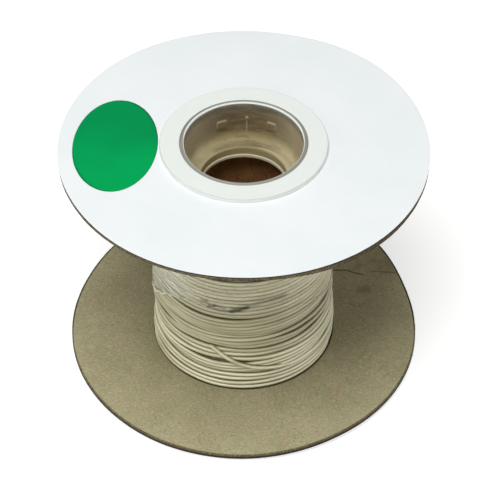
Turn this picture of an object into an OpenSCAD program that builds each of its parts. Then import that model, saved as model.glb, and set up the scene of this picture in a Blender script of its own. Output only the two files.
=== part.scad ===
// Wire spool: a paper core tube between two chipboard discs, held by two moulded
// hubs, with thin insulated wire wound on it. All sizes are in millimetres.
// The spool stands on its lower hub, its axis is Z and its base is at z = 0.

/* [Flange discs] */
// Diameter of the two discs
flange_d = 150; // [142:1:220]
// Thickness of a disc's chipboard
board_t = 2; // [1.5:0.1:4]
// Thickness of the white paper on a disc's outer face
liner_t = 0.2; // [0.1:0.05:0.5]

/* [Core] */
// Space between the two discs
traverse = 101; // [84:1:140]
// Bore of the paper core tube
core_bore_d = 50.8; // [42:0.1:61]
// Wall of the paper core tube
core_wall = 3; // [2:0.1:4]

/* [Hubs] */
// Diameter of the collar on a disc's outer face
collar_d = 68; // [64:1:69]
// Height of the collar
collar_t = 2; // [1.6:0.1:3]
// Wall of the barrel, the step and the sleeve
hub_wall = 1.2; // [0.9:0.1:1.6]
// Depth from the collar's face to the step inside the barrel
socket_depth = 19; // [16:0.5:30]
// Bore of the inner sleeve, which takes the spindle
spindle_d = 35; // [20:0.5:36]
// Length of the inner sleeve, with the step
sleeve_l = 5; // [4:0.5:12]

/* [Hub details] */
// Rounding of the barrel's mouth
mouth_r = 0.5; // [0.3:0.1:1.1]
// Rounding of the collar's outer edge
collar_edge_r = 0.7; // [0.3:0.1:1]
// Width of the slope from the mouth's rim down to the foot of the ring groove
groove_w = 1.4; // [0.8:0.1:2]
// Depth of the ring groove at its foot
groove_depth = 0.45; // [0.2:0.05:0.6]
// Direction of the first moulding seam, in degrees
seam_turn = 87; // [0:1:179]
// Angle from a seam to the catch pad on each side of it, in degrees
catch_spread = 25.6; // [15:0.1:40]
// Width of a catch pad
catch_w = 3.8; // [2:0.1:6]
// Height of a catch pad
catch_h = 4.6; // [3:0.1:6]
// Depth by which a catch pad stands out of the barrel's inner wall
catch_depth = 0.5; // [0.3:0.1:0.6]
// Distance from the collar's face down to the top of a catch pad
catch_drop = 7.2; // [5:0.1:9]
// Width of a seam's raised line
seam_w = 0.5; // [0.3:0.1:1]
// Height of a seam's raised line
seam_h = 0.25; // [0.15:0.05:0.4]
// Width of the bead at the top of a seam
bead_w = 1; // [0.6:0.1:2]
// Height of that bead
bead_h = 0.5; // [0.3:0.05:0.6]
// Height of the lip at the sleeve's free end
lip_h = 1.3; // [0.8:0.1:2]
// Depth by which the sleeve's bore is wider above that lip
lip_depth = 0.4; // [0.2:0.05:0.5]

/* [Wire] */
// Outer diameter of the wire
wire_d = 2; // [1.2:0.1:2.6]
// Depth of the winding over the core tube
winding_depth = 10.6; // [9:0.1:30]
// Most turns that the outer layer is drawn with
turns_most = 24; // [10:1:24]
// Least space left between two drawn turns
turn_space = 0.5; // [0.5:0.1:3]
// Radius of the bend where the wire dives under the outer layer
dive_r = 3; // [2.6:0.1:4]

/* [Tape, film and label] */
// Width of the tape that holds the start of the wire on the core
tape_w = 19; // [10:1:30]
// Thickness of that tape
tape_t = 0.15; // [0.1:0.05:0.3]
// Part of the way round that the tape goes, in degrees
tape_angle = 120; // [60:5:200]
// Width of the clear film round the winding
film_w = 56; // [20:1:70]
// Thickness of the film with its wraps
film_t = 0.1; // [0.1:0.05:0.3]
// Long axis of the oval label
label_l = 55.7; // [30:0.1:60]
// Short axis of the oval label
label_w = 34.3; // [20:0.1:35]
// Thickness of the label
label_t = 0.1; // [0.1:0.05:0.3]
// Turn of the label in its plane, in degrees
label_turn = -3.1; // [-20:0.1:20]

/* [Fits] */
// Gap between a hub's barrel and the tube and discs round it
hub_gap = 0.2; // [0.1:0.05:0.5]
// Gap between two soft or wound pieces
soft_gap = 0.1; // [0.05:0.05:0.3]
// Gap from the film to the upper disc, and from the tape to the lower one
end_gap = 2; // [1:0.5:6]
// Gap between the first or last turn and its disc
turn_end_gap = 0.3; // [0.2:0.1:2]
// Gap from the collar to the label
label_gap = 0.6; // [0.3:0.1:3]

/* [Hidden] */
fine = 96;
overcut = 1;
arc_steps = 6;

// Heights, from the base up
lower_face_z = collar_t;
lower_board_z = lower_face_z + liner_t;
wind_z = lower_board_z + board_t;
wind_top_z = wind_z + traverse;
upper_liner_z = wind_top_z + board_t;
upper_face_z = upper_liner_z + liner_t;

// Hub radii
barrel_r = core_bore_d / 2 - hub_gap;
socket_r = barrel_r - hub_wall;
spindle_r = spindle_d / 2;
collar_r = collar_d / 2;
step_z = collar_t - socket_depth;
groove_foot_r = socket_r + mouth_r + groove_w;
lip_z = step_z - sleeve_l + lip_h;
bead_z = collar_t - catch_drop;

// Core and winding radii
tube_r = core_bore_d / 2 + core_wall;
pack_bore_r = tube_r + tape_t + soft_gap;
wire_r = wire_d / 2;
winding_r = tube_r + winding_depth;
layer_r = winding_r - wire_r;

// The outer layer: a ring of six corners every 15 degrees
rings_per_turn = 24;
wire_sides = 6;
dive_steps = 4;
turns_room = traverse - 2 * turn_end_gap - wire_d;
turns = min(turns_most, floor(turns_room / (wire_d + turn_space)));
first_turn_z = wind_z + turn_end_gap + wire_r;
turn_pitch = turns_room / turns;
ring_angle = 360 / rings_per_turn;
last_ring = turns * rings_per_turn;
// A straight run between two rings passes closer to the axis than the rings do
pack_r = (layer_r - wire_r) * cos(ring_angle / 2) - soft_gap;
dive_floor_r = layer_r - dive_r - wire_d - soft_gap;

// Where the label lies
label_x = -(collar_r + label_gap + label_w / 2);

// Colours of the finishes
chipboard = [0.61, 0.57, 0.46];
white_paper = [0.93, 0.95, 0.96];
kraft = [0.42, 0.29, 0.19];
milky_plastic = [0.88, 0.89, 0.86];
cream_wire = [0.80, 0.77, 0.66];
under_wire = [0.66, 0.62, 0.50];
clear_film = [0.86, 0.90, 0.90, 0.4];
masking_tape = [0.86, 0.78, 0.58];
label_green = [0.02, 0.59, 0.33];

// Points of a rounded corner of radius r about (x, y), from angle a to angle b
function corner(x, y, r, a, b) =
    [for (i = [0:arc_steps]) let (t = a + (b - a) * i / arc_steps) [x + r * cos(t), y + r * sin(t)]];

// A flat ring between two radii, with its lower face at height z
module flat_ring(outer_r, inner_r, z, height) {
    translate([0, 0, z])
        difference() {
            cylinder(h = height, r = outer_r, $fn = fine);
            translate([0, 0, -overcut])
                cylinder(h = height + 2 * overcut, r = inner_r, $fn = fine);
        }
}

// ---- Discs and core ----

module disc_board(z) {
    color(chipboard) flat_ring(flange_d / 2, core_bore_d / 2, z, board_t);
}

module disc_liner(z) {
    color(white_paper) flat_ring(flange_d / 2, core_bore_d / 2, z, liner_t);
}

module lower_board() {
    disc_board(lower_board_z);
}

module lower_liner() {
    disc_liner(lower_face_z);
}

module upper_board() {
    disc_board(wind_top_z);
}

module upper_liner() {
    disc_liner(upper_liner_z);
}

module core_tube() {
    color(kraft) flat_ring(tube_r, core_bore_d / 2, wind_z, traverse);
}

// ---- Hubs ----
// A hub is drawn with its collar up and the face that it clamps at z = 0

// Half section: up the sleeve and the barrel, over the mouth, along the collar, down the outside
function hub_section() = concat(
    [[spindle_r, step_z - sleeve_l], [spindle_r, lip_z]],
    [[spindle_r + lip_depth, lip_z + lip_depth], [spindle_r + lip_depth, step_z], [socket_r, step_z]],
    corner(socket_r + mouth_r, collar_t - mouth_r, mouth_r, 180, 90),
    [[groove_foot_r, collar_t - groove_depth], [groove_foot_r, collar_t]],
    corner(collar_r - collar_edge_r, collar_t - collar_edge_r, collar_edge_r, 90, 0),
    [[collar_r, 0], [barrel_r, 0], [barrel_r, step_z - hub_wall]],
    [[spindle_r + hub_wall, step_z - hub_wall], [spindle_r + hub_wall, step_z - sleeve_l]]
);

// Raised patch on the barrel's inner wall, with its roots in the wall
module wall_patch(turn, width, height, low_z, high_z) {
    half_angle = asin(width / 2 / socket_r);
    rotate(turn - half_angle)
        rotate_extrude(angle = 2 * half_angle, $fn = fine)
            translate([socket_r - height, low_z])
                square([height + hub_wall / 2, high_z - low_z]);
}

// Raised pad on the inner side of a catch that grips the tube
module catch_pad(turn) {
    wall_patch(turn, catch_w, catch_depth, bead_z - catch_h, bead_z);
}

// Raised line where the two halves of the mould met, with the bead at its top
module mould_seam(turn) {
    wall_patch(turn, seam_w, seam_h, step_z - hub_wall / 2, bead_z);
    wall_patch(turn, bead_w, bead_h, bead_z - bead_w / 2, bead_z + bead_w / 2);
}

module hub() {
    seams = [seam_turn, seam_turn + 180];
    rotate_extrude($fn = fine) polygon(hub_section());
    for (seam = seams) {
        mould_seam(seam);
        for (side = [-1, 1])
            catch_pad(seam + side * catch_spread);
    }
}

module upper_hub() {
    color(milky_plastic)
        translate([0, 0, upper_face_z])
            hub();
}

module lower_hub() {
    color(milky_plastic)
        translate([0, 0, lower_face_z])
            mirror([0, 0, 1])
                hub();
}

// ---- Wire ----

// A point at radius r and height z, a distance along the tangent from angle a
function wire_point(a, r, along, z) =
    [r * cos(a) - along * sin(a), r * sin(a) + along * cos(a), z];

// The bend that dives under the layer: straight for one wire diameter, then a quarter turn
function dive(a, side, z) = concat(
    [wire_point(a, layer_r - dive_r - wire_d, side * dive_r, z)],
    [for (i = [0:dive_steps - 1]) let (t = 90 * i / dive_steps)
        wire_point(a, layer_r - dive_r * (1 - sin(t)), side * dive_r * cos(t), z)]
);

function reversed(list) = [for (i = [len(list) - 1:-1:0]) list[i]];

last_angle = last_ring * ring_angle;
last_turn_z = first_turn_z + turns * turn_pitch;
wire_path = concat(
    dive(0, -1, first_turn_z),
    [for (i = [0:last_ring]) wire_point(i * ring_angle, layer_r, 0, first_turn_z + turn_pitch * i / rings_per_turn)],
    reversed(dive(last_angle, 1, last_turn_z))
);

function unit(v) = v / norm(v);

// Six corners of the wire's section at point i of a path; the path is never upright
function wire_ring(path, i) =
    let (
        ahead = unit(path[min(i + 1, len(path) - 1)] - path[max(i - 1, 0)]),
        side = unit(cross(ahead, [0, 0, 1])),
        up = cross(side, ahead)
    )
    [for (k = [0:wire_sides - 1]) let (t = 360 * k / wire_sides)
        path[i] + wire_r * (side * cos(t) + up * sin(t))];

// Sweeps the wire along a path as one closed tube of triangles
module wire_tube(path) {
    rings = len(path);
    corners = [for (i = [0:rings - 1]) each wire_ring(path, i)];
    walls = [for (i = [0:rings - 2], k = [0:wire_sides - 1])
        let (
            a = i * wire_sides + k,
            b = i * wire_sides + (k + 1) % wire_sides,
            c = b + wire_sides,
            d = a + wire_sides
        )
        each [[a, c, b], [a, d, c]]];
    start_cap = [for (k = [1:wire_sides - 2]) [0, k, k + 1]];
    end_first = (rings - 1) * wire_sides;
    end_cap = [for (k = [1:wire_sides - 2]) [end_first, end_first + k + 1, end_first + k]];
    polyhedron(points = corners, faces = concat(walls, start_cap, end_cap), convexity = 10);
}

// Least distance between the surfaces of two stretches of wire that aren't neighbours
half_turn = rings_per_turn / 2;
least_gap = min([for (i = [0:len(wire_path) - 1], j = [i + half_turn:1:len(wire_path) - 1])
    norm(wire_path[i] - wire_path[j])]) - wire_d;

module wire_outer_layer() {
    echo(turns = turns, turn_pitch = turn_pitch, least_gap = least_gap);
    color(cream_wire) wire_tube(wire_path);
}

// Slot in the pack, below the place where the wire dives
module dive_slot(a, side, z) {
    reach = dive_r + wire_r + soft_gap;
    slot_h = wire_d + 2 * soft_gap;
    rotate(a)
        translate([dive_floor_r, side < 0 ? -reach : 0, z - slot_h / 2])
            cube([winding_r - dive_floor_r, reach, slot_h]);
}

module wire_pack() {
    color(under_wire)
        difference() {
            flat_ring(pack_r, pack_bore_r, wind_z, traverse);
            dive_slot(0, -1, first_turn_z);
            dive_slot(last_angle, 1, last_turn_z);
        }
}

// ---- Tape, film and label ----

module start_tape() {
    color(masking_tape)
        translate([0, 0, wind_z + end_gap])
            rotate_extrude(angle = tape_angle, $fn = fine)
                translate([tube_r, 0])
                    square([tape_t, tape_w]);
}

module film_wrap() {
    film_r = winding_r + soft_gap;
    color(clear_film) flat_ring(film_r + film_t, film_r, wind_top_z - end_gap - film_w, film_w);
}

module label() {
    color(label_green)
        translate([label_x, 0, upper_face_z])
            rotate(label_turn)
                linear_extrude(label_t)
                    polygon([for (i = [0:fine - 1]) let (t = 360 * i / fine)
                        [label_w / 2 * cos(t), label_l / 2 * sin(t)]]);
}

core_tube();
start_tape();
wire_pack();
wire_outer_layer();
film_wrap();
lower_board();
lower_liner();
lower_hub();
upper_board();
upper_liner();
upper_hub();
label();
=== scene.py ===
# %% [markdown]
# # A spool of thin insulated wire
# The spool is a paper core tube between two chipboard discs. Two moulded hubs are pushed
# into the core, the wire is wound between the discs, and clear film holds the last turns.
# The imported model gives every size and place. The wound wire and the film are rebuilt in
# full, because there the look is in the shape. The other pieces are remade or repainted.

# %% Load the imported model
import math

import bpy
import numpy as np
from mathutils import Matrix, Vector


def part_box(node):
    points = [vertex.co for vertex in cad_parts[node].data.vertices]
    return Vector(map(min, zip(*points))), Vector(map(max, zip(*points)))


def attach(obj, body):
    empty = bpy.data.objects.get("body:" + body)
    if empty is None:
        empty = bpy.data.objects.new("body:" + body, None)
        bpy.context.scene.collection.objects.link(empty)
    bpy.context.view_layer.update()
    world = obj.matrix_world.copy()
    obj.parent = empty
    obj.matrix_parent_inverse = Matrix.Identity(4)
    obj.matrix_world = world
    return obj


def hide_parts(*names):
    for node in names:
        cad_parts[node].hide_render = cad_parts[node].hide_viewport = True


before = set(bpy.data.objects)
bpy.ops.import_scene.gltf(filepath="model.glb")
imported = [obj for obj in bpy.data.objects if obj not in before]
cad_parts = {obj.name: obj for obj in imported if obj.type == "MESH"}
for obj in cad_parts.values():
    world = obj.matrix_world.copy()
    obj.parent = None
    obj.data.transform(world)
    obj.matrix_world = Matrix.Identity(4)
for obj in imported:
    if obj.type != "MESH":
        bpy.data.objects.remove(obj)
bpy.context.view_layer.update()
MM = 0.001
print("nodes:", ", ".join(sorted(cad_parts)))


# %% [markdown]
# ## Sizes from the frame
# A node's vertices hold its true place, and each round node lies about the Z axis, so
# their least and greatest distance from it are the node's bore and rim. A new pack with
# other sizes still fits. Lengths are in millimetres from here on, until a mesh is made.

# %% Read radii and heights
def radii(node):
    """Least and greatest distance of a node's vertices from the axis."""
    spread = [v.co.xy.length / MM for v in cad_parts[node].data.vertices]
    return min(spread), max(spread)


def heights(node):
    """Lowest and highest point of a node."""
    low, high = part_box(node)
    return low.z / MM, high.z / MM


FLANGE_R = radii("upper_board")[1]
BORE_R, TUBE_R = radii("core_tube")
WIND_LOW, WIND_TOP = heights("core_tube")
WINDING_R = radii("wire_outer_layer")[1]
COLLAR_R = radii("upper_hub")[1]
print(f"disc {2 * FLANGE_R:.1f} mm, tube {2 * TUBE_R:.1f} mm, winding {2 * WINDING_R:.1f} mm")


# %% [markdown]
# ## Camera
# A long lens from high in front shows the upper disc as a wide ellipse and leaves the
# winding in sight below it. It looks along +Y and down, so one turn about X sets it.

# %% Set the camera
EYE = Vector((-0.52, -620.96, 655.38)) * MM
LOOK_DOWN = math.radians(44.13)
LENS = 152.54


def add_object(name, data, place=(0, 0, 0), turn=(0, 0, 0)):
    """Puts a new object with this data into the scene."""
    made = bpy.data.objects.new(name, data)
    made.location = place
    made.rotation_euler = turn
    scene.collection.objects.link(made)
    return made


scene = bpy.context.scene
lens = bpy.data.cameras.new("camera")
lens.lens = LENS
lens.sensor_width = 36
scene.camera = add_object("camera", lens, EYE, (math.pi / 2 - LOOK_DOWN, 0, 0))
scene.view_settings.view_transform = "Standard"
print(f"camera {EYE.length:.2f} m from the base's centre")


# %% [markdown]
# ## Shader maths as Python
# Long node graphs are hard to read as code. This class wraps one output socket, so that
# an expression such as `1 - mask * 0.5` adds its own Math nodes. Any other node comes
# from `node`, which takes its type, its settings and the values or links of its sockets.

# %% Wrap a socket
def operator(operation, swapped=False):
    """A method that makes an operator add this Math node."""
    def method(self, other):
        return self.maths(operation, *((other, self) if swapped else (self, other)))
    return method


class Shade:
    """One output of a shader node, on which Python's operators work."""

    def __init__(self, tree, socket=None):
        self.tree = tree
        self.socket = socket

    def node(self, kind, settings=None, sockets=None, output=0):
        made = self.tree.nodes.new("ShaderNode" + kind)
        for name, value in (settings or {}).items():
            setattr(made, name, value)
        for name, value in (sockets or {}).items():
            if isinstance(value, Shade):
                self.tree.links.new(value.socket, made.inputs[name])
            else:
                made.inputs[name].default_value = value
        if isinstance(output, tuple):
            return [Shade(self.tree, made.outputs[name]) for name in output]
        return Shade(self.tree, made.outputs[output] if made.outputs else None)

    def maths(self, operation, *values, clamp=False):
        return self.node("Math", {"operation": operation, "use_clamp": clamp}, dict(enumerate(values)))

    __add__ = __radd__ = operator("ADD")
    __mul__ = __rmul__ = operator("MULTIPLY")
    __sub__, __rsub__ = operator("SUBTRACT"), operator("SUBTRACT", swapped=True)
    __truediv__ = operator("DIVIDE")
    __pow__ = operator("POWER")


def colour(*screen):
    """A screen colour from 0 to 255 as the linear colour that Blender works in."""
    shares = (value / 255 for value in screen)
    return (*(c / 12.92 if c <= 0.04045 else ((c + 0.055) / 1.055) ** 2.4 for c in shares), 1)


print(f"white 240 is {colour(240)[0]:.3f} in linear light")


# %% [markdown]
# ## Pattern helpers
# Every pattern is placed by the piece's own coordinates in millimetres, so a noise of
# scale 0.5 has blobs of about 2 mm on any piece. `grain` is plain noise, `band` is a soft
# step between two values, `blend` mixes two colours, and `painted` lays several coats
# over one.

# %% Make the pattern helpers
def start_material(name):
    """A new material's empty tree, with its coordinates in millimetres."""
    material = bpy.data.materials.new(name)
    material.use_nodes = True
    material.node_tree.nodes.clear()
    tree = Shade(material.node_tree)
    place = tree.node("TexCoord", output="Object")
    place = tree.node("VectorMath", {"operation": "SCALE"}, {0: place, "Scale": 1 / MM})
    return material, place


def grain(place, scale, detail=2.0, rough=0.5, stretch=None):
    """Noise from 0 to 1, by blobs per millimetre, drawn finer along each axis by stretch."""
    if stretch:
        place = place.node("Mapping", sockets={"Vector": place, "Scale": stretch})
    settings = {"Vector": place, "Scale": scale, "Detail": detail, "Roughness": rough}
    return place.node("TexNoise", sockets=settings)


def band(value, low, high, start=0.0, end=1.0):
    """Goes smoothly from start to end as value goes from low to high."""
    settings = {"interpolation_type": "SMOOTHSTEP"}
    sockets = {"Value": value, 1: low, 2: high, 3: start, 4: end}
    return value.node("MapRange", settings, sockets)


def blend(first, second, share):
    """Mixes two colours, each one a link or a screen colour, by a linked share."""
    first, second = (colour(*c) if isinstance(c, tuple) else c for c in (first, second))
    return share.node("Mix", {"data_type": "RGBA"}, {0: share, 6: first, 7: second}, output=2)


def painted(base, *coats):
    """Lays coats over a base, each one a screen colour and its share."""
    for tint, share in coats:
        base = blend(base, tint, share)
    return base


def chosen(operation, first, *others):
    """The MINIMUM or the MAXIMUM of several values."""
    for other in others:
        first = first.maths(operation, first, other)
    return first


def stored(place, name):
    """The number kept under this name at each point of a piece."""
    return place.node("Attribute", {"attribute_name": name}, output="Fac")


def parts_of(place):
    """The X, Y and Z of a place, and its distance from the axis."""
    x, y, z = place.node("SeparateXYZ", sockets={0: place}, output=(0, 1, 2))
    return x, y, z, (x * x + y * y) ** 0.5


def finish_material(material, place, base, rough, gloss, relief, depth, more=None):
    """Adds the Principled shader, with bumps of this depth in mm and more sockets."""
    normal = place.node("Bump", sockets={"Height": relief, "Distance": depth * MM})
    sockets = {"Base Color": base, "Roughness": rough, "Specular IOR Level": gloss, "Normal": normal}
    surface = place.node("BsdfPrincipled", sockets=sockets | (more or {}))
    place.node("OutputMaterial", sockets={"Surface": surface})
    print(f"{material.name}: {len(material.node_tree.nodes)} nodes")
    return material


# %% [markdown]
# ## Floor, world and lamps
# The floor is pale and one-sided, and light passes it right under the spool, so a view
# from below still shows the base. It glows a little for the camera, more so far away,
# which turns it white and keeps the shadow. The world is white to the camera and in
# reflections, and softer as a lamp. One large lamp high in front lights the discs, and a
# weaker one on each side lights the winding between them.

# %% Build the studio
FLOOR_SIDE = 6.0
NEAR_GLOW = 0.6
FAR_GLOW = 0.86
GLOW_RISES = (300, 1200)
AMBIENT = 0.24
AIM = (0, 0, 0.05)
LAMP_WIDTH = 0.8


def studio_rays(link):
    """1 for a ray that should find a white background, and 0 for one that carries light."""
    kinds = ("Is Camera Ray", "Is Glossy Ray", "Is Transmission Ray")
    return chosen("MAXIMUM", *link.node("LightPath", output=kinds))


def floor_material():
    material, place = start_material("studio_floor")
    pale = place.node("BsdfDiffuse", sockets={"Color": colour(205, 205, 203)})
    x, y, z, away = parts_of(place)
    glow = studio_rays(place) * band(away, *GLOW_RISES, NEAR_GLOW, FAR_GLOW)
    glow = place.node("Emission", sockets={"Strength": glow})
    lit = place.node("AddShader", sockets={0: pale, 1: glow})
    below = place.node("NewGeometry", output="Backfacing")
    under = band(away, FLANGE_R - 2, FLANGE_R - 1, 1, 0)
    open_under = under * place.node("LightPath", output="Is Diffuse Ray")
    clear = place.node("BsdfTransparent")
    share = chosen("MAXIMUM", below, open_under)
    surface = place.node("MixShader", sockets={0: share, 1: lit, 2: clear})
    place.node("OutputMaterial", sockets={"Surface": surface})
    return material


def add_floor():
    half = FLOOR_SIDE / 2
    mesh = bpy.data.meshes.new("floor")
    corners = [(-half, -half, 0), (half, -half, 0), (half, half, 0), (-half, half, 0)]
    mesh.from_pydata(corners, [], [(0, 1, 2, 3)])
    mesh.materials.append(floor_material())
    add_object("floor", mesh)


def light_world():
    world = bpy.data.worlds.new("studio")
    scene.world = world
    world.use_nodes = True
    world.node_tree.nodes.clear()
    link = Shade(world.node_tree)
    strength = studio_rays(link) * (1 - AMBIENT) + AMBIENT
    back = link.node("Background", sockets={"Color": (1, 1, 1, 1), "Strength": strength})
    link.node("OutputWorld", sockets={"Surface": back})


def add_lamp(name, place, watts):
    data = bpy.data.lights.new(name, "AREA")
    data.shape = "DISK"
    data.size = LAMP_WIDTH
    data.energy = watts
    add_object(name, data, place, (Vector(AIM) - Vector(place)).to_track_quat("-Z", "Y").to_euler())


add_floor()
light_world()
add_lamp("key_lamp", (-0.17, -0.42, 1.27), 13.2)
add_lamp("left_lamp", (-1.1, -0.45, 0.35), 3.6)
add_lamp("right_lamp", (1.1, -0.5, 0.35), 2.4)
print(f"floor {FLOOR_SIDE} m, {len(bpy.data.lights)} lamps")


# %% [markdown]
# ## Meshes from grids
# A tube, a disc and a sheet of film are all a grid of points with quads between them.
# `skin` makes one from an array of rows and columns, and closes it along either way.

# %% Make a mesh from a grid
def skin(name, grid, material, wrap_rows=False, wrap_columns=False, caps=False):
    """An object over grid[row, column], its faces turned to where rows x columns points."""
    rows, columns = grid.shape[:2]
    numbers = np.arange(rows * columns).reshape(rows, columns)
    if wrap_rows:
        numbers = np.vstack([numbers, numbers[:1]])
    if wrap_columns:
        numbers = np.hstack([numbers, numbers[:, :1]])
    corners = [numbers[:-1, :-1], numbers[1:, :-1], numbers[1:, 1:], numbers[:-1, 1:]]
    faces = np.stack(corners, axis=-1).reshape(-1, 4).tolist()
    if caps:
        faces.append(list(range(columns)))
        faces.append(list(range((rows - 1) * columns, rows * columns))[::-1])
    mesh = bpy.data.meshes.new(name)
    mesh.from_pydata((grid.reshape(-1, 3) * MM).tolist(), [], faces)
    mesh.polygons.foreach_set("use_smooth", np.ones(len(faces), bool))
    mesh.materials.append(material)
    piece = add_object(name, mesh)
    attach(piece, "root")
    print(f"{name}: {len(faces)} faces")
    return piece


def store(piece, name, values):
    """Keeps a number at each point of a piece, for its material."""
    layer = piece.data.attributes.new(name, "FLOAT", "POINT")
    layer.data.foreach_set("value", values)


def signed(degrees):
    """Angles brought to between -180 and 180 degrees."""
    return np.mod(degrees + 180, 360) - 180


def round_grid(radius, turn, height):
    """Points from radius, turn and height arrays that go together."""
    radius, turn, height = np.broadcast_arrays(radius, turn, height)
    return np.stack([radius * np.cos(turn), radius * np.sin(turn), height], axis=-1)


rng = np.random.default_rng(3)


def smooth_random(count, step, rng=rng):
    """A smooth random curve of spread about 1, with a new hill every few steps."""
    knots = rng.normal(size=int(count / step) + 4)
    where = np.arange(count) / step + 1
    whole = where.astype(int)
    part = where - whole
    part = part * part * (3 - 2 * part)
    return knots[whole] * (1 - part) + knots[whole + 1] * part


def smoothed(values, width):
    """Values averaged with a bell of this width in steps."""
    reach = int(4 * width) + 1
    bell = np.exp(-0.5 * (np.arange(-reach, reach + 1) / width) ** 2)
    padded = np.pad(values, reach, mode="edge")
    return np.convolve(padded, bell / bell.sum(), mode="valid")


# %% [markdown]
# Most pieces here are turned: one outline goes round the axis. Each of its corners has
# the rounding of a punched or moulded edge, because a perfectly sharp edge never catches
# the light. It runs clockwise when seen with the axis on the left, so that the faces look
# outwards.

# %% Turn an outline round the axis
def outline(corners, step):
    """Points of a closed outline from (radius, height, rounding) corners."""
    places = [np.array(corner[:2], float) for corner in corners]
    stops = []
    for here, middle in enumerate(places):
        back, on = places[here - 1] - middle, places[(here + 1) % len(places)] - middle
        start, end = (middle + way * corners[here][2] / np.linalg.norm(way) for way in (back, on))
        for time in np.linspace(0, 1, 7):
            stops.append((1 - time) ** 2 * start + 2 * time * (1 - time) * middle + time ** 2 * end)
    points = []
    for here, point in enumerate(stops):
        after = stops[(here + 1) % len(stops)]
        pieces = max(1, round(np.linalg.norm(after - point) / step))
        points += [point + (after - point) * part / pieces for part in range(pieces)]
    return np.array(points)


def turned(name, section, turns, material, shape=None, twist=0.0):
    """Turns a section round the axis at these angles, and moves its points by shape."""
    radius, turn = np.meshgrid(section[:, 0], turns, indexing="ij")
    height = np.repeat(section[:, 1:2], len(turns), axis=1)
    turn = turn + twist * height
    if shape:
        radius, height = shape(radius, turn, height)
    return skin(name, round_grid(radius, turn, height), material, True, True)


def even_turns(count, close=(), width=4.0, extra=5):
    """Angles in radians all round, with more of them near some angles in degrees."""
    angles = list(np.arange(count) * 360 / count)
    for middle in close:
        angles += list(middle + np.linspace(-width, width, extra))
    return np.radians(np.unique(np.round(np.mod(angles, 360), 4)))


def ring_outline(inner, outer, low, high, roundings, step=1.6):
    """Outline of a ring or tube, its corners rounded in order from the inner top one."""
    places = [(inner, high), (outer, high), (outer, low), (inner, low)]
    return outline([(*place, rounding) for place, rounding in zip(places, roundings)], step)


print(f"{len(even_turns(180, [0]))} turns, with more of them near 0 degrees")


# %% [markdown]
# ## How the discs wave
# Chipboard is never quite flat. Each disc is held flat by the hub's collar and stands a
# little up or down beyond it, the lower one most at the back right, where its face has
# cracked. A table gives how far the rim stands off at some angles. The board, its paper
# and the label all follow it.

# %% Set the waves of the discs
LOWER_WAVE = [(-180, 0), (-150, -0.1), (-135, -0.3), (-119, -0.7), (-90, -0.6), (-75, 0), (-58, 0.7),
              (-46, 0.5), (-27, 0.2), (-10, -0.1), (12, -0.2), (15, 0.3), (20, 1.3), (23, 2.3), (28, 3.9),
              (31, 4.8), (34, 5.5), (42, 5.8), (60, 4.2), (90, 2.6), (120, 2.2), (143, 2.1), (150, 1.2),
              (156, 0.3), (165, -0.1), (180, 0)]
UPPER_WAVE = [(-180, 0.5), (-155, 0.7), (-130, 0.1), (-90, 0), (-60, -0.5), (-40, -0.8), (-15, -0.6),
              (20, 0.2), (40, 0.6), (60, 0.1), (75, -0.7), (105, -0.5), (120, 0), (145, 0.5), (180, 0.5)]


def wave(table, radius, turn):
    """How far a disc stands off its plane at these radii and turns."""
    steps = np.arange(-540, 541)
    rim = smoothed(np.interp(signed(steps), *zip(*table)), 3)
    flat = COLLAR_R + 2
    share = np.clip((radius - flat) / (FLANGE_R - flat), 0, 1.1) ** 1.3
    return np.interp(signed(np.degrees(turn)), steps, rim) * share


print(f"the lower rim stands up by {wave(LOWER_WAVE, FLANGE_R, math.radians(42)):.1f} mm at the back right")


# %% [markdown]
# ## Chipboard discs
# The discs are 2 mm grey-brown chipboard, punched out. The face is pressed paper pulp:
# short fibres, specks and wide soft blotches, all faint. Punching drags the rim, which is
# dark and rough, and the upper disc's hangs ragged at the front right. The rims are real
# geometry with small random dents. The fibres are too fine for that, so they are colour
# and bump. The lower disc is worn too, with a crack, a scuff and a stain at the back
# right. Its crack is darkened with painted shade, and a painted shadow ring lies where
# the winding meets it.

# %% Make the chipboard
def distance_to_line(x, y, corners):
    """Least distance from (x, y) to a line through these corners."""
    away = []
    for (ax, ay), (bx, by) in zip(corners, corners[1:]):
        length = (bx - ax) ** 2 + (by - ay) ** 2
        reach = (x - ax) * (bx - ax) + (y - ay) * (by - ay)
        along = x.maths("DIVIDE", reach, length, clamp=True)
        away.append(((x - ax - along * (bx - ax)) ** 2 + (y - ay - along * (by - ay)) ** 2) ** 0.5)
    return chosen("MINIMUM", *away)


CREASE = [(39.7, 30.9), (46.0, 30.3), (48.5, 29.2), (53.3, 27.6)]
CREASE_END = [(55.5, 28.9), (59.6, 29.4), (67.4, 28.6), (71.8, 28.4)]
SCUFF = [(49.8, 32.5), (59.7, 33.1), (67.7, 30.6)]
STAIN = [(52.4, 19.4), (54.4, 19.7)]


def cut_edge(place, specks, worn):
    """Colour of the punched rim, by the level from -1 to 1 that is stored up it."""
    x, y, z, radius = parts_of(place)
    level = stored(place, "level")
    cut = painted((90, 81, 58), ((134, 125, 96), band(specks, 0.46, 0.6)))
    rough_level = level + (specks - 0.5) * 0.9
    if worn:
        return painted(cut, ((26, 22, 13), band(rough_level, -0.4, 0.7)),
                       ((34, 32, 16), band(y, -16, 10) * band(x, -20, 20, 0.6, 0.95)))
    burr = band(rough_level, 0.3, 0.62)
    drag = band(level + (specks - 0.5) * 0.6, -0.85, -0.45, 1, 0)
    ragged = band(x, 18, 32) * band(y, -70, -62)
    frayed = band(level, -0.92, -0.78, 1, 0) * ragged * band(y, -44, -34, 1, 0)
    return painted(cut, ((26, 22, 13), chosen("MAXIMUM", burr, drag)),
                   ((62, 50, 38), ragged * 0.55), ((246, 220, 186), frayed * 0.85))


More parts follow.
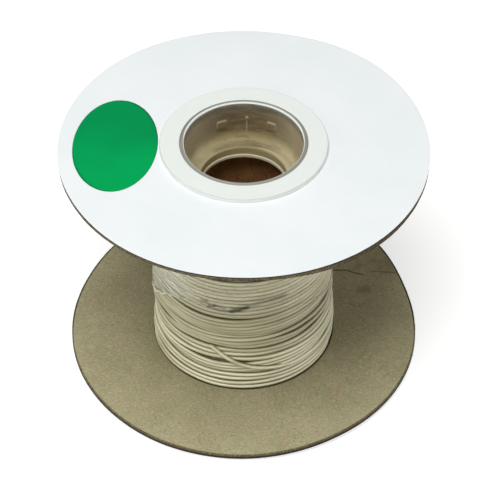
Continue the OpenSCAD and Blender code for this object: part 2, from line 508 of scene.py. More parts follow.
def worn_and_shaded_face(place, base, clouds, upper_side):
    """The lower disc's face with its marks, painted shade in the crack, a painted contact shadow at the
    winding, and the crack's mask.
    """
    x, y, z, radius = parts_of(place)
    wobble = grain(place, 0.5, 2) * 0.5
    # The crack's line is darkened with painted shade, and the bump presses it in.
    first = band(distance_to_line(x, y, CREASE) + wobble, 0.3, 0.9, 1, 0)
    second = band(distance_to_line(x, y, CREASE_END) + wobble, 0.3, 0.8, 0.6, 0)
    crack = chosen("MAXIMUM", first, second) * upper_side
    scuff = band(distance_to_line(x, y, SCUFF) + clouds * 4, 2.5, 7, 1, 0)
    stain = distance_to_line(x, y, STAIN) + (grain(place, 0.3, 3) - 0.5) * 5
    # A painted contact shadow: a dark ring on the face at the foot of the winding.
    contact_shadow = band(radius, WINDING_R + 0.05, WINDING_R + 0.4, 1, 0) * upper_side
    base = painted(base, ((58, 54, 36), crack * 0.75),
                   ((112, 88, 62), scuff * band(grain(place, 0.25, 3), 0.4, 0.65) * 0.4),
                   ((98, 76, 54), band(stain, 0.0, 3.6, 0.42, 0)), ((30, 26, 14), contact_shadow * 0.9))
    return base, crack


def chipboard_material(name, low, high, worn):
    material, place = start_material(name)
    x, y, z, radius = parts_of(place)
    specks = grain(place, 1.5, 3, 0.65)
    fibres = grain(place, 0.8, 3, 0.6, stretch=(1, 2.2, 1))
    clouds = grain(place, 0.045, 4, 0.6)
    hue = grain(place, 0.32, 3, 0.7)
    base = painted((158, 152, 118), ((172, 165, 131), band(clouds, 0.3, 0.7)),
                   ((206, 198, 166), band(fibres, 0.5, 0.68) * 0.5),
                   ((96, 90, 62), band(specks, 0.5, 0.68) * 0.55),
                   ((180, 154, 134), band(hue, 0.5, 0.68) * 0.4),
                   ((138, 146, 104), band(hue, 0.32, 0.5, 1, 0) * 0.3))
    wider = band(y, -16, 10) * 0.35 if worn else 0
    rim = band(radius + wider, FLANGE_R - 0.7, FLANGE_R - 0.35)
    base = blend(base, cut_edge(place, specks, worn), rim)
    relief = specks * 0.5 + fibres * 0.5
    if worn:
        base, crack = worn_and_shaded_face(place, base, clouds, band(z, (high + low) / 2, high - 0.2))
        relief = relief - crack * 2.5
    return finish_material(material, place, base, 0.88, 0.25, relief, 0.06)


# %% Make both boards
DISC_SPOKES = 540
BOARD_ROUNDING = (0.1, 0.28, 0.28, 0.1)


def dented(radius):
    """Small dents along the punched rim, all inwards."""
    rim = radius > FLANGE_R - 0.6
    wide = smooth_random(radius.shape[1], 9) * 0.03
    fine = rng.uniform(0, 0.07, radius.shape)
    return radius - rim * (0.03 + fine + np.abs(wide))


RAGGED = [(-180, 0.3), (-160, 0.35), (-145, 0.2), (-130, -0.2), (-115, -0.2), (-95, 0), (-78, 0),
          (-62, 0.9), (-40, 0.9), (-25, 0.6), (-12, 0.25), (180, 0.3)]


def hang(radius, turn, below):
    """How far the lower edge of a rim hangs down, at these depths below its face."""
    edge = np.interp(signed(np.degrees(turn)), *zip(*RAGGED))
    return edge * np.clip((radius - FLANGE_R + 2) / 1.5, 0, 1) * np.clip((below - 0.5) / 1.2, 0, 1)


def make_board(node, table, worn=False):
    low, high = heights(node)

    def shape(radius, turn, height):
        ragged = 0 if worn else hang(radius, turn, high - height)
        return dented(radius), height + wave(table, radius, turn) - ragged

    section = ring_outline(radii(node)[0], FLANGE_R, low, high, BOARD_ROUNDING)
    turns = even_turns(DISC_SPOKES)
    material = chipboard_material(node + "_chipboard", low, high, worn)
    board = turned(node + "_punched", section, turns, material, shape)
    level = (2 * section[:, 1] - low - high) / (high - low) * (-1 if worn else 1)
    store(board, "level", np.repeat(level, len(turns)))
    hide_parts(node)


make_board("lower_board", LOWER_WAVE, worn=True)
make_board("upper_board", UPPER_WAVE)


# %% [markdown]
# ## White paper faces
# A thin white paper is glued on the outer face of each disc before punching, so its edge
# is flush with the board. On the upper disc that edge shows as a bright line; on the lower
# one it is painted dark, a painted shadow under the disc. The paper is smooth and faintly
# cool.

# %% Make the paper faces
PAPER_ROUNDING = (0.05, 0.07, 0.04, 0.04)


def paper_material(name, edge):
    material, place = start_material(name)
    clouds = grain(place, 0.03, 4, 0.6)
    fibres = grain(place, 1.1, 4, 0.65)
    specks = band(grain(place, 0.6, 1), 0.8, 0.84)
    x, y, z, radius = parts_of(place)
    base = painted((231, 236, 237), ((236, 240, 241), band(clouds, 0.3, 0.7)),
                   ((226, 230, 231), band(fibres, 0.58, 0.78) * 0.3), ((222, 221, 216), specks * 0.5),
                   (edge, band(radius, FLANGE_R - 0.25, FLANGE_R - 0.1)))
    rough = band(fibres, 0.3, 0.7, 0.5, 0.62)
    return finish_material(material, place, base, rough, 0.35, fibres + clouds * 3, 0.03)


def make_liner(node, table, edge):
    section = ring_outline(radii(node)[0], FLANGE_R, *heights(node), PAPER_ROUNDING)
    paper = paper_material(node + "_white", edge)
    liner = turned(node + "_paper", section, even_turns(DISC_SPOKES), paper,
                   lambda radius, turn, height: (radius, height + wave(table, radius, turn)))
    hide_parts(node)


# The lower paper's dark edge colour is a painted shadow under the disc.
make_liner("lower_liner", LOWER_WAVE, (30, 26, 16))
make_liner("upper_liner", UPPER_WAVE, (234, 238, 239))


# %% [markdown]
# ## Hubs
# Each hub is one thin moulding of milky plastic: a flat collar, a barrel that goes into
# the core, a step and a short sleeve for the spindle. What lies behind shows through, so
# the collar looks white on the paper and the barrel brown on the core. Real translucent
# shading would be slow and noisy, so that colour is painted in by depth. The catch pads
# and the mould seams inside are moved points of the same grid.

# %% Set out the hub
COLLAR_T = 2.0
SOCKET_R = 24.0
BARREL_R = 25.2
GROOVE_R = 25.95
SPINDLE_R = 17.5
STEP_DEPTH = 19.0
SLEEVE_END = 24.0
LIP = 1.3
WALL = 1.2
SEAM_AT = 87
# Angle, width, height, top and bottom of each raised part
PADS = [(SEAM_AT + side * 25.6 + half, 3.8, 0.5, 8.2, 12.2) for half in (0, 180) for side in (-1, 1)]
SEAMS = [(SEAM_AT + half, 0.3, 0.16, 8.0, 15.0) for half in (0, 180)]
BEADS = [(SEAM_AT + half, 0.9, 0.5, 7.5, 8.4) for half in (0, 180)]


def hub_section():
    """Outline of half a hub, by radius and depth below the collar's face."""
    corners = [
        (SPINDLE_R, SLEEVE_END, 0.15), (SPINDLE_R, SLEEVE_END - LIP, 0.25),
        (SPINDLE_R + 0.4, SLEEVE_END - LIP - 0.4, 0.1), (SPINDLE_R + 0.4, STEP_DEPTH, 0.4),
        (SOCKET_R, STEP_DEPTH, 4.5), (SOCKET_R, 1.0, 0.4), (SOCKET_R + 0.25, 0.15, 0.2),
        (SOCKET_R + 0.55, 0.0, 0.1), (GROOVE_R - 0.2, 0.5, 0.15), (GROOVE_R, 0.03, 0.08),
        (COLLAR_R, 0, 0.35), (COLLAR_R, COLLAR_T, 0.1), (BARREL_R, COLLAR_T, 0.2),
        (BARREL_R, STEP_DEPTH + WALL, 0.5), (SPINDLE_R + WALL, STEP_DEPTH + WALL, 0.3),
        (SPINDLE_R + WALL, SLEEVE_END, 0.15),
    ]
    return outline(corners, 0.55)


def swell(away, width, edge=0.3):
    """1 within width / 2 of zero, falling to 0 over a soft edge."""
    part = np.clip((width / 2 + edge - np.abs(away)) / edge, 0, 1)
    return part * part * (3 - 2 * part)


def moulded(radius, turn, depth):
    """Raises the pads, the seams and their beads from the barrel's inner wall."""
    inside = np.abs(radius - SOCKET_R) < 0.02
    raised = np.zeros_like(radius)
    for middle, width, height, top, bottom in PADS + SEAMS + BEADS:
        across = swell(np.radians(signed(np.degrees(turn) - middle)) * SOCKET_R, width)
        down = swell(depth - (top + bottom) / 2, bottom - top)
        raised = np.maximum(raised, across * down * height)
    return radius - inside * raised


print("hub outline:", len(hub_section()), "points")

# %% Colour the hub by depth
BARREL_TINTS = [(0.0, (140, 138, 122)), (0.16, (124, 118, 102)), (0.3, (132, 114, 86)),
                (0.62, (144, 126, 94)), (0.85, (170, 156, 110)), (0.97, (166, 154, 110)),
                (1.0, (138, 126, 88))]


def collar_colour(place, depth, mottle):
    """White from the paper behind, with painted shade on the groove round the mouth and at the collar's
    outer edge.
    """
    x, y, z, radius = parts_of(place)
    # mouth sets where the painted shade on the groove's slope begins, further in at the front than at the
    # back.
    mouth = radius - band(y / radius, -0.1, 0.9, 24.35, 25.3)
    groove = band(mouth, 0, 0.25) * band(radius, GROOVE_R, GROOVE_R + 0.2, 1, 0)
    # The groove gets painted shade, and the last two coats are grey painted shade at the collar's outer
    # edge.
    return painted((226, 231, 226), ((230, 235, 230), mottle), ((140, 139, 129), groove),
                   ((212, 214, 209), band(radius, 33.5, 33.75) * band(depth, 0.35, 0.8, 1, 0)),
                   ((204, 206, 200), band(radius, 33.7, 33.9) * band(depth, 1.6, 1.9)))


def barrel_colour(place, depth, rings, mottle):
    """Brown from the core behind, with smears, painted light on the side walls and painted shade at the
    back.
    """
    x, y, z, radius = parts_of(place)
    share = (depth + (rings - 0.5) * 2.0 + (mottle - 0.5) * 1.5) / STEP_DEPTH
    barrel = BARREL_TINTS[0][1]
    for (start, _), (end, tint) in zip(BARREL_TINTS, BARREL_TINTS[1:]):
        barrel = blend(barrel, tint, share.node("MapRange", sockets={"Value": share, 1: start, 2: end}))
    smears = grain(place, 0.26, 3, 0.65, stretch=(0.6, 0.6, 2.2))
    # side is painted light on the left and right walls; the last coat is painted shade at the back.
    side = band(x / radius, 0.2, 1.0, 0, 0.8) + band(x / radius, -1.0, -0.2, 0.8, 0)
    return painted(barrel, ((92, 80, 54), band(smears, 0.5, 0.66) * 0.4),
                   ((184, 170, 132), band(smears, 0.34, 0.5, 1, 0) * 0.3),
                   ((192, 180, 150), side * band(depth, 1, 5) * band(depth, 13, 17, 1, 0.55)),
                   ((96, 86, 66), band(y / radius, 0.5, 0.95) * 0.28))


def hub_material(name, face, way):
    """Milky plastic; face is the collar's height, and way is 1 where depth goes up."""
    material, place = start_material(name)
    x, y, z, radius = parts_of(place)
    depth = (z - face) * way
    rings = grain(place, 0.35, 3, stretch=(0.2, 0.2, 6))
    mottle = grain(place, 0.1, 1) * 0.6 + grain(place, 0.9, 2) * 0.4
    base = blend(collar_colour(place, depth, mottle), barrel_colour(place, depth, rings, mottle),
                 band(depth, 0.2, 0.6) * band(radius, 24.6, 24.8, 1, 0))
    # The sleeve is olive, with a painted sheen on its right side.
    olive = painted((158, 144, 98), ((182, 168, 122), mottle),
                    ((206, 196, 164), band(x / radius, 0.3, 0.9) * 0.35))
    outward = radius - SPINDLE_R
    sleeve = band(outward, 0.7, 1.4, 1, 0)
    base = blend(base, olive, sleeve * band(depth, STEP_DEPTH - 0.2, STEP_DEPTH + 0.5))
    # A painted glow along the sleeve's lower edge, where light leaves the clear plastic.
    lip_glow = band(depth, SLEEVE_END - LIP - 0.5, SLEEVE_END - LIP - 0.1)
    seam = math.radians(SEAM_AT)
    off_seam = x * math.sin(seam) - y * math.cos(seam)
    near_seam = band(off_seam.maths("ABSOLUTE", off_seam), 0.5, 0.9, 1, 0)
    fade = band(depth - near_seam * 5, 9.5, 12.5, 1, 0) * band(depth - near_seam * 2.5, 13, 14, 1, 0)
    inward = SOCKET_R - radius
    # Painted highlight on the catch pads' top and outer edges.
    pad_edge_highlight = band(inward, 0.02, 0.1) * band(inward, 0.4, 0.48, 1, 0)
    # Painted highlight along the step's inner edge, wider on the right.
    step = band(outward - band(x / radius, 0.1, 0.7, 0, 1.0), 0.7, 1.6, 1, 0) * band(outward, 0.8, 1.2)
    base = painted(base, ((216, 208, 182), lip_glow), ((186, 174, 140), pad_edge_highlight * fade * band(depth, 5, 6) * 0.65),
                   ((184, 170, 138), step))
    rough = band(mottle, 0.3, 0.7, 0.36, 0.46) + band(depth, 10, 14, 0, 0.3)
    within = {"Subsurface Weight": 0.15, "Subsurface Radius": (1, 0.95, 0.85), "Subsurface Scale": 1.5 * MM}
    return finish_material(material, place, base, rough, 0.45, rings * band(depth, 2, 4), 0.03, within)


# %% Make both hubs
def make_hub(node, face, way):
    turns = even_turns(400, [m for m, *_ in SEAMS], 2.4, 21)
    material = hub_material(node + "_plastic", face, way)

    def place_hub(radius, turn, depth):
        return moulded(radius, turn, depth), face + way * depth

    hub = turned(node + "_moulding", hub_section()[::way], turns, material, place_hub)
    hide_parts(node)


make_hub("upper_hub", heights("upper_hub")[1], -1)
make_hub("lower_hub", 0.0, 1)


# %% [markdown]
# ## Core tube
# The core is wound from slanting strips of brown kraft paper, and the strip's edge leaves
# a shallow spiral line on both walls. The tube's grid is twisted to follow the strips, so
# one column of points can be pressed in to make that line.

# %% Make the core tube
STRIP_TWIST = math.radians(360 / 98)


def kraft_material():
    material, place = start_material("brown_kraft")
    x, y, z, radius = parts_of(place)
    fibres = grain(place, 0.8, 4, 0.65, stretch=(1, 1, 0.5))
    clouds = grain(place, 0.08, 3)
    ply = (y.maths("ARCTAN2", y, x) - z * STRIP_TWIST) / (2 * math.pi)
    seam = band(ply.maths("PINGPONG", ply + 10, 0.5), 0.0, 0.006, 1, 0)
    base = painted((150, 110, 68), ((182, 134, 84), band(clouds, 0.3, 0.7)),
                   ((104, 72, 44), band(fibres, 0.5, 0.7) * 0.6),
                   ((226, 156, 72), band(grain(place, 0.9, 3), 0.55, 0.7) * 0.5), ((52, 36, 22), seam * 0.8))
    return finish_material(material, place, base, 0.8, 0.3, fibres - seam, 0.08)


def spiral(radius, turn, height):
    """Presses the strip's edge in, on both walls."""
    ply = signed(np.degrees(turn - STRIP_TWIST * height))
    line = swell(np.radians(ply) * TUBE_R, 0.3, 0.4)
    inner = radius < (BORE_R + TUBE_R) / 2
    return radius + np.where(inner, 1, -1) * line * 0.25, height


tube_section = ring_outline(BORE_R, TUBE_R, WIND_LOW, WIND_TOP, [0.3] * 4, 1.0)
tube = turned("core_tube_wound", tube_section, even_turns(180, [0], 1.2, 9),
              kraft_material(), spiral, STRIP_TWIST)
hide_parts("core_tube")


# %% [markdown]
# ## Tape and label
# A strip of masking tape holds the start of the wire on the core, under the winding. The
# oval label is a thin green sticker, with a slightly raised middle and an edge that goes
# down to the paper.

# %% Finish the tape
def tape_material():
    material, place = start_material("creped_tape")
    crepe = grain(place, 0.9, 3, stretch=(1, 1, 3))
    base = blend((214, 194, 142), (230, 212, 164), crepe)
    return finish_material(material, place, base, 0.7, 0.5, crepe, 0.1)


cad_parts["start_tape"].data.materials.clear()
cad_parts["start_tape"].data.materials.append(tape_material())


# %% Make the label
LABEL_TURN = math.radians(-3.1)
LABEL_HALF = (17.15, 27.85)
LABEL_RINGS = [(0.03, 1), (0.3, 1), (0.6, 0.97), (0.9, 0.92), (0.97, 0.88), (0.99, 0.8), (0.998, 0.6),
               (1.0, 0.35), (0.998, 0), (0.6, 0), (0.03, 0)]
label_low, label_high = (np.array(v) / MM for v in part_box("label"))
label_middle = (label_low + label_high) / 2


def label_material():
    material, place = start_material("green_sticker")
    x, y, z, radius = parts_of(place)
    clouds = grain(place, 0.05, 3)
    fibres = grain(place, 1.4, 3)
    across, along = x - label_middle[0], y - label_middle[1]
    out = across ** 2 / LABEL_HALF[0] ** 2 + along ** 2 / LABEL_HALF[1] ** 2
    # The green is lighter towards the front, as painted light, and its last coat is painted shade along the
    # sticker's edge.
    base = painted((0, 141, 77), ((0, 160, 84), band(clouds * 0.4 + y * -0.012 + 0.3, 0.3, 0.7)),
                   ((0, 128, 62), band(fibres, 0.55, 0.75) * 0.3),
                   ((8, 96, 56), band(out, 0.955, 0.985) * 0.6))
    return finish_material(material, place, base, band(fibres, 0.3, 0.7, 0.6, 0.7), 0.05, fibres, 0.02)


def label_grid():
    """Rings of the oval label, from its raised middle over its edge and back below."""
    around = np.arange(240) * 2 * math.pi / 240
    oval = (LABEL_HALF[0] * np.cos(around) + 1j * LABEL_HALF[1] * np.sin(around)) * np.exp(1j * LABEL_TURN)
    share, rise = np.array(LABEL_RINGS).T[:, :, None]
    x, y = label_middle[0] + oval.real * share, label_middle[1] + oval.imag * share
    height = label_low[2] + (label_high[2] - label_low[2]) * rise
    return np.stack([x, y, height + wave(UPPER_WAVE, np.hypot(x, y), np.arctan2(y, x))], axis=-1)


label = skin("label_sticker", label_grid(), label_material(), wrap_columns=True, caps=True)
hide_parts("label")


# %% [markdown]
# ## Wire
# The wire is about fifty metres long, in five to six layers. A winding looks real when
# each turn lies where the turns below let it: mostly in a groove, now and then climbing
# over into the next one. So the wire is laid step by step, as a winder would. At each
# step it may shift a little up or down, and it takes the place that lies deepest, without
# falling far behind the guide or bending sharply.

# %% Set the winder's passes
WIRE_R = 1.0
STEPS = 72
ROOM = WIND_TOP - WIND_LOW
LOWEST, HIGHEST = WIRE_R + 0.03, ROOM - WIRE_R - 0.03
PASSES = [(LOWEST, 2.12, 0.15), (HIGHEST, 2.12, 0.15), (LOWEST, 2.12, 0.15), (HIGHEST, 2.1, 0.15),
          (LOWEST, 2.1, 1.3), (8.6, 2.4, 0.15)]
TAIL_SPOKE = 12


def guide_heights():
    """The guide's height over the lower board at each step."""
    places = [HIGHEST]
    drift = 1 + 0.16 * smooth_random(400 * STEPS, 1.3 * STEPS)
    for goal, pitch, dwell in PASSES:
        way = 1 if goal > places[-1] else -1
        while (goal - places[-1]) * way > 0:
            places.append(places[-1] + way * pitch * drift[len(places)] / STEPS)
        places += [goal] * int(dwell * STEPS)
    places += [places[-1]] * ((TAIL_SPOKE + 1 - len(places)) % STEPS)
    sway = 0.5 * smooth_random(len(places), 0.9 * STEPS)
    sway += 0.4 * smooth_random(len(places), 0.37 * STEPS)
    return np.clip(np.array(places) + sway, LOWEST, HIGHEST)


guide = guide_heights()
print(f"{len(guide) / STEPS:.1f} turns of wire")


# %% Lay the wire step by step
REACH = np.linspace(-0.24, 0.24, 9)
PULL = 0.4
STIFF = 5.0
FIRST_R = TUBE_R + 0.16 + WIRE_R
BELLY = [(0, 1.4), (5, 0.75), (9, 0.2), (12, 2.6), (17, 1.7), (24, 0.7), (35, 0.5), (45, 0.3), (54, 0)]


def clearance(height, radius, places, reach):
    """How far out circles of radius reach, about points at height and radius, go at these places."""
    gap = np.abs(places[:, None] - height[None, :])
    rise = np.sqrt(np.maximum(reach ** 2 - gap ** 2, 0))
    return np.where(gap < reach, radius[None, :] + rise, 0).max(axis=1, initial=0)


def seat(height, radius, places):
    """The least radius at which a wire clears the turns below, at each of these places."""
    first = FIRST_R + np.interp(places, *zip(*BELLY))
    return np.maximum(clearance(height, radius, places, 2 * WIRE_R), first)


def lay_wire():
    """Height and radius of the wire at each step."""
    spokes = np.full((STEPS, 2, len(guide) // STEPS + 2), -99.0)
    before = last = guide[0]
    path = []
    for step, target in enumerate(guide):
        turn, spoke = divmod(step, STEPS)
        below = spokes[spoke, :, max(turn - 110, 0):turn]
        places = last + REACH
        seats = seat(*below, places)
        cost = seats + PULL * (places - target) ** 2 + STIFF * (places - 2 * last + before) ** 2
        best = cost.argmin()
        before, last = last, min(max(places[best], LOWEST), HIGHEST)
        spokes[spoke, :, turn] = last, seats[best]
        path.append((last, seats[best]))
    return np.array(path)


laid = lay_wire()
print(f"the pile reaches {laid[:, 1].max() + WIRE_R:.2f} mm")

# %% [markdown]
# The winder's pull evens the pile out. The outside of the laid turns is read into a table,
# by spoke and by height, and smoothed. Each turn then moves in or out by what the table
# is off from the wanted outline, the inner turns less, and the few that still ride high
# are pressed in.

# %% Even the pile out
LEVEL_STEP = 0.5
LEVELS = np.arange(0, ROOM, LEVEL_STEP)
OUTLINE = [(0, 39.05), (1, 39.05), (3, 39.1), (6, 39.0), (10, 38.8), (15, 38.6), (22, 38.3), (35, 38.1),
           (50, 37.5), (101, 37.6)]
PROUD = 0.35


def outer_table(height, radius):
    """Outer radius of the wire, by spoke and by height over the lower board."""
    rows = [clearance(height[spoke::STEPS], radius[spoke::STEPS], LEVELS, WIRE_R) for spoke in range(STEPS)]
    return np.maximum(rows, TUBE_R)


def filled(values, reach, width):
    """The greatest value within reach along the last axis, smoothed."""
    edge = np.pad(values, ((0, 0), (reach, reach)), mode="edge")
    most = np.max([edge[:, k:k + values.shape[1]] for k in range(2 * reach + 1)], axis=0)
    return np.array([smoothed(row, width) for row in most])


def stretched_over(table, up, around):
    """Fills and smooths a table by (reach, width) up its heights, then round its spokes."""
    three = np.tile(filled(table, *up), (3, 1))
    return filled(three.T, *around).T[STEPS:2 * STEPS]


def read_table(table, turn, height):
    """A table's values at these turns, in degrees, and heights."""
    spoke = np.mod(-turn * STEPS / 360, STEPS)
    row = np.clip(height / LEVEL_STEP, 0, len(LEVELS) - 1.001)
    first, low = spoke.astype(int) % STEPS, row.astype(int)
    after, across, rise = (first + 1) % STEPS, spoke - spoke.astype(int), row - low
    lower, upper = (table[first, at] * (1 - across) + table[after, at] * across for at in (low, low + 1))
    return lower * (1 - rise) + upper * rise


def evened(turn, height, radius):
    """Radii moved so that the outside of the pile follows OUTLINE."""
    hull = stretched_over(outer_table(height, radius), (3, 4), (0, 2.5))
    now = read_table(hull, turn, height)
    goal = np.interp(height, *zip(*OUTLINE))
    share = np.clip((radius - FIRST_R) / (now - WIRE_R - FIRST_R), 0, 1)
    radius = radius + share * (goal - now)
    rim = goal - WIRE_R
    over = np.maximum(radius - rim, 0)
    return np.minimum(radius, rim) + PROUD * np.tanh(over / (2 * PROUD))


pile_turn = -np.arange(len(laid)) * 360 / STEPS
pile_height = smoothed(laid[:, 0], 1.3)
pile_radius = evened(pile_turn, pile_height, smoothed(laid[:, 1], 1.1))
print(f"the evened pile reaches {pile_radius.max() + WIRE_R:.2f} mm")

# %% [markdown]
# The last stretch of wire leaves the even turns and runs up across them, to a cut end.
# It lies on whatever is under it, so its radius comes from the same rule as the turns.
# Then the whole path is smoothed a little, because wire can't follow a sharp step.

# %% Add the crossing end
TAIL_ANGLES = [-60, -66, -71, -77, -84, -90, -98, -103, -107.5, -112.5]
TAIL_HEIGHTS = [10.8, 11.4, 12.3, 13.9, 15.5, 17.5, 19.0, 22.0, 24.0]
LEAN = [(0, -0.2), (5, -0.1), (10, 0.2), (14, 0.2), (18, 0), (25, -0.5), (35, -0.8), (50, -1), (101, -1)]


def tail_path():
    """Turn in degrees, height and radius of the crossing end, every two degrees."""
    turn = np.arange(TAIL_ANGLES[0] - 2, TAIL_ANGLES[-1], -2.0)
    height = smoothed(np.interp(-turn, -np.array(TAIL_ANGLES), [pile_height[-1]] + TAIL_HEIGHTS), 2.0)
    radius = []
    for angle, place in zip(turn, height):
        spoke = int(round(-angle * STEPS / 360)) % STEPS
        radius.append(seat(pile_height[spoke::STEPS], pile_radius[spoke::STEPS], np.array([place]))[0])
    sunk = np.interp(turn, [-112, -104, -92], [0.95, 0.6, 0])
    risen = np.clip((turn[0] - turn) / 26, 0, 1) ** 0.8
    radius = smoothed(np.array(radius), 2.5) - sunk
    return turn, height, pile_radius[-1] + (radius - pile_radius[-1]) * risen


def wire_path():
    """Centres of the whole wire, from its start to its cut end."""
    tail_turn, tail_height, tail_radius = tail_path()
    turn = np.concatenate([pile_turn, tail_turn + pile_turn[-1] - TAIL_ANGLES[0]])
    height = smoothed(np.concatenate([pile_height, tail_height]), 0.8)
    radius = smoothed(np.concatenate([pile_radius, tail_radius]), 0.8)
    lean = np.interp(height, *zip(*LEAN)) * np.cos(np.radians(turn))
    radius += lean * np.clip((radius - FIRST_R) / (WINDING_R - FIRST_R), 0, 1)
    return round_grid(radius, np.radians(turn), height + WIND_LOW)


path = wire_path()
lengths = np.linalg.norm(np.diff(path, axis=0), axis=1)
print(f"wire {lengths.sum() * MM:.2f} m long, its end at {path[-1, 2] - WIND_LOW:.1f} mm")

# %% [markdown]
# The insulation is matt cream plastic. Neighbouring turns differ a little in tone, and
# handling has left faint marks. Numbers stored along the wire carry its tone with painted
# shade and light by height, the hollows between turns, which take painted shade with some
# dirt, and the crests, which take a painted highlight.

# %% Make the insulation
def insulation_material():
    material, place = start_material("cream_insulation")
    x, y, z, radius = parts_of(place)
    dirt = band(grain(place, 0.12, 3), 0.5, 0.72)
    bands = band(grain(place, 0.06, 3, 0.6, stretch=(0.4, 0.4, 5)), 0.5, 0.62)
    fine = grain(place, 1.6, 3, stretch=(1, 1, 2.5))
    turns = grain(place, 0.07, 2, 0.5, stretch=(0.45, 0.45, 7))
    dull = band(turns, 0.5, 0.7) * band(z, 14, 26) * band(z, 46, 52, 0.2, 0.1)
    # Painted shade with some dirt in the hollows between turns, changing with height and weaker towards the
    # sides.
    hollow_dirt_and_shade = (band(z, 12, 26, 0.92, 0.68) + band(z, 46, 54, 0, 0.8)) * band(turns, 0.36, 0.62, 0.45, 1.25)
    hollow_dirt_and_shade = hollow_dirt_and_shade * band(x, 4, 30, 1, 0.7) * band(x, -34, -18, 0.65, 1)
    # Painted highlight on the crests, changing with height and turn, and stronger on the right.
    lit = (band(z, 12, 40, 1, 0.42) + band(z, 46, 52, 0, 0.48)) * band(turns, 0.4, 0.66, 1.25, 0.5)
    cream = painted((166, 160, 118), ((222, 216, 178), stored(place, "shade")),
                    ((178, 167, 122), dirt * 0.35), ((146, 139, 94), bands * 0.45),
                    ((170, 160, 132), band(fine, 0.6, 0.8) * 0.25), ((128, 120, 80), dull),
                    ((84, 75, 34), stored(place, "hollow") * hollow_dirt_and_shade),
                    ((255, 250, 220), stored(place, "crest") * lit * band(x, 8, 26, 1, 1.4)))
    rough = band(fine, 0.2, 0.8, 0.28, 0.42)
    within = {"Subsurface Weight": 0.08, "Subsurface Radius": (1, 0.9, 0.6), "Subsurface Scale": 0.8 * MM}
    return finish_material(material, place, cream, rough, 0.5, fine, 0.04, within)


def sweep_wire(name, centres, sides, material, shade):
    """A round wire through these centres, with its tone and painted light, and its hollows and crests for
    painted shade and highlight, stored.
    """
    along = np.gradient(centres, axis=0)
    along /= np.linalg.norm(along, axis=1, keepdims=True)
    outward = centres * (1, 1, 0)
    outward -= along * (outward * along).sum(axis=1, keepdims=True)
    outward /= np.linalg.norm(outward, axis=1, keepdims=True)
    across = np.cross(outward, along)
    around = CREST_AT + np.arange(sides) * 2 * math.pi / sides
    ring = outward[:, None] * np.cos(around)[:, None] + across[:, None] * np.sin(around)[:, None]
    piece = skin(name, centres[:, None] + WIRE_R * ring, material, wrap_columns=True, caps=True)
    # hollow marks the sides that face into the gaps between turns, for painted shade; crest marks the side
    # that faces the lamp, for a painted highlight.
    hollow = np.clip((0.72 - np.cos(around)) / 0.64, 0, 1)
    lit = np.cos(around - CREST_AT)
    crest = 0.4 * np.clip(lit * 3 - 2, 0, 1) + 0.6 * np.clip(lit * 6 - 5, 0, 1)
    store(piece, "shade", np.repeat(shade, sides))
    store(piece, "hollow", np.tile(hollow, len(centres)))
    store(piece, "crest", np.tile(crest, len(centres)))
    return piece


# %% Make the wound wire
OUTER_TURNS = 105
CREST_AT = math.radians(-40)
# Painted shade and light by height, added to the wire's tone: darker up to 42 mm, most in the middle, and
# lighter from 50 mm up, under the film.
PAINTED_LIGHT_BY_HEIGHT = [(0, -0.24), (9, -0.18), (22, -0.4), (42, -0.38), (50, 0.26)]
insulation = insulation_material()
shade = 0.5 + 0.24 * smooth_random(len(path), 0.5 * STEPS) + 0.12 * smooth_random(len(path), 6)
shade += np.interp(path[:, 2] - WIND_LOW, *zip(*PAINTED_LIGHT_BY_HEIGHT))
split = len(laid) - OUTER_TURNS * STEPS
outer = sweep_wire("wound_wire", path[split:], 12, insulation, np.clip(shade[split:], 0, 1))
inner = sweep_wire("wound_wire_core", path[:split + 1:2], 6, insulation, np.clip(shade[:split + 1:2], 0, 1))
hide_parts("wire_outer_layer")
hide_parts("wire_pack")

# %% [markdown]
# ## Film
# Clear stretch film goes round the last turns. It bridges the small gaps between turns,
# touches the high ones, and is pulled into fine slanting wrinkles. Its lower edge curls
# into a thin whitish roll. So it starts as a table of the winding's radius by turn and
# height, which is then filled and smoothed as tension would.

# %% Stretch the film
FILM_TOP = 98.9
wound = path[:len(laid)]
bare = outer_table(wound[:, 2] - WIND_LOW, np.linalg.norm(wound[:, :2], axis=1))
around_table = np.maximum(stretched_over(bare, (2, 1.5), (1, 1.0)) - 0.3, bare)
print(f"film lies {around_table[:, 80:].min():.1f} mm or more from the axis")

# %% Make the film
EDGE = [(-180, 31), (-169, 31), (-152, 36.3), (-143, 40.4), (-138, 42.1), (-129, 45.6), (-117, 46.6),
        (-108, 45.6), (-98, 45), (-79, 46.1), (-71, 45.3), (-58.6, 42.1), (-47.7, 40.5), (-40, 39.5),
        (-30.5, 36.7), (-19, 34.8), (0, 34), (30, 36), (60, 39), (100, 41), (140, 37), (165, 33), (180, 31)]
# Lines of painted shadow under folds in the film, each as (angle, height) points; the second set is darker.
FOLD_SHADOW_LINES = [[(-116.9, 48.8), (-113.9, 48.9)], [(-108, 47.4), (-102, 46.9)],
        [(-97, 47.4), (-91.4, 48.2), (-83, 49.4), (-78, 50.3), (-70.9, 50.7), (-63, 51.0)]]
DEEP_FOLD_SHADOW_LINES = [[(-112.2, 46.8), (-108.8, 47.3)], [(-98.8, 46.2), (-92.9, 46.9), (-90, 47.7), (-87.5, 48.2)]]
FILM_START = 150.0
FILM_ROUND = 405.0
COLUMNS, FLAT_ROWS, CURLED_ROWS = 420, 105, 11
GATHERED_AT = 200
OVERLAP = 0.12
CRIMPS = 26


def distance_to_lines(around, tall, lines):
    """Least distance on the film from these lines of (angle, height) points."""
    flat = [[(math.radians(angle) * WINDING_R, height) for angle, height in line] for line in lines]
    return chosen("MINIMUM", *(distance_to_line(around, tall, line) for line in flat))


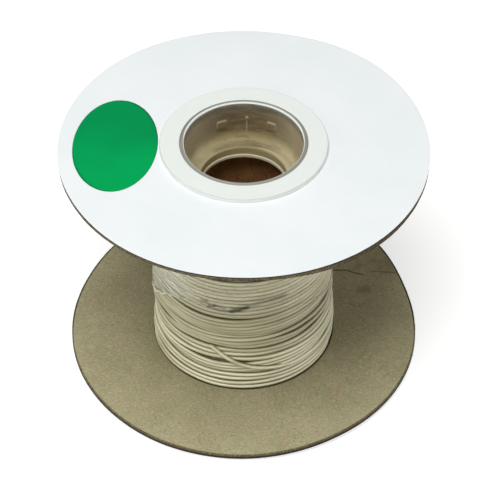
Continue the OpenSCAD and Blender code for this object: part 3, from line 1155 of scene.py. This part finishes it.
def film_material():
    material, place = start_material("clear_stretch_film")
    x, y, z, radius = parts_of(place)
    around = y.maths("ARCTAN2", y, x) * WINDING_R
    tall = z - WIND_LOW
    patchy = grain(place, 0.24, 3, 0.6, stretch=(0.6, 0.6, 3)) - 0.5
    # Painted fold shadows along these lines, blurred by a patchy noise.
    fold_shadow = band(distance_to_lines(around, tall, FOLD_SHADOW_LINES) + patchy * 2.4, -0.3, 2.4, 1, 0)
    deep_fold_shadow = band(distance_to_lines(around, tall, DEEP_FOLD_SHADOW_LINES) + patchy * 2.4, -0.6, 1.5, 1, 0)
    curled = stored(place, "curled")
    streaks = grain(place, 0.1, 4, 0.6, stretch=(1, 1, 6))
    haze = grain(place, 0.05, 3)
    # Painted sheen: the film is whiter and hazier towards its left side, more so higher up.
    left_sheen = band(x, -38, -6, 1, 0) * band(tall, 38, 52, 0.5, 1)
    veil = 0.02 + band(streaks, 0.5, 0.66) * (left_sheen * 0.5 + 0.3) + band(haze, 0.45, 0.7) * 0.1 + left_sheen * 0.22
    veil = veil * band(x, 8, 26, 1, 0.6) + curled * (0.6 + left_sheen * 0.4) + fold_shadow * 0.34 + deep_fold_shadow * 0.7
    base = painted((246, 243, 224), ((255, 255, 244), left_sheen), ((248, 243, 222), curled),
                   ((72, 70, 38), fold_shadow * 0.9), ((24, 21, 6), deep_fold_shadow))
    rough = band(streaks, 0.3, 0.7, 0.22, 0.4)
    return finish_material(material, place, base, rough, 0.2, streaks, 0.15, {"Alpha": veil})


def film_grid():
    """Turns of the film's columns, its radii and heights in rows going up, and what is curled."""
    column = np.arange(COLUMNS)
    turn = FILM_START - column * FILM_ROUND / (COLUMNS - 1)
    edge = smoothed(np.interp(signed(turn), *zip(*EDGE)), 4)
    edge = edge + 0.5 * smooth_random(COLUMNS, 14) + 0.25 * smooth_random(COLUMNS, 5)
    gather = np.exp(-((np.mod(turn, 360) - GATHERED_AT) / 13) ** 2)
    tightness = np.clip(0.55 + 0.35 * smooth_random(COLUMNS, 22), 0.1, 1)
    fold = 2 * smooth_random(COLUMNS, 30, rng_fold)
    overlap = smoothed(np.where(column > (COLUMNS - 1) * 360 / FILM_ROUND, OVERLAP, 0.0), 3)
    height = edge + 0.2 + (FILM_TOP - edge - 0.2) * np.linspace(0, 1, FLAT_ROWS)[:, None]
    above = height - edge
    crimp = 0.1 * np.sin(np.radians(turn) * CRIMPS + height * 0.55 + fold)
    crimp = crimp * (1 + 1.2 * gather * np.exp(-above / 8)) + 0.1
    radius = read_table(around_table, turn, height) + 0.1 + overlap + crimp * (np.exp(-above / 9) + 0.25)
    flat = np.stack([radius, height], axis=-1)
    roll = 0.22 + 0.16 * tightness + 0.4 * gather
    step = np.arange(CURLED_ROWS, 0, -1)[:, None]
    inward = np.stack([roll * (1 - np.cos(step * 0.62)), -roll * np.sin(step * 0.62)], axis=-1)
    curl = flat[0] + inward * (1 - 0.03 * step)[..., None]
    curled = np.zeros((CURLED_ROWS + FLAT_ROWS, COLUMNS))
    curled[:CURLED_ROWS] = np.maximum(tightness, gather)
    return turn, np.concatenate([curl, flat]), curled


rng_fold = np.random.default_rng(5)
film_turn, film_rows, film_curl = film_grid()
film_points = round_grid(film_rows[..., 0], np.radians(film_turn), film_rows[..., 1] + WIND_LOW)
film = skin("stretch_film", film_points[:, ::-1], film_material())
store(film, "curled", film_curl[:, ::-1].reshape(-1))
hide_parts("film_wrap")
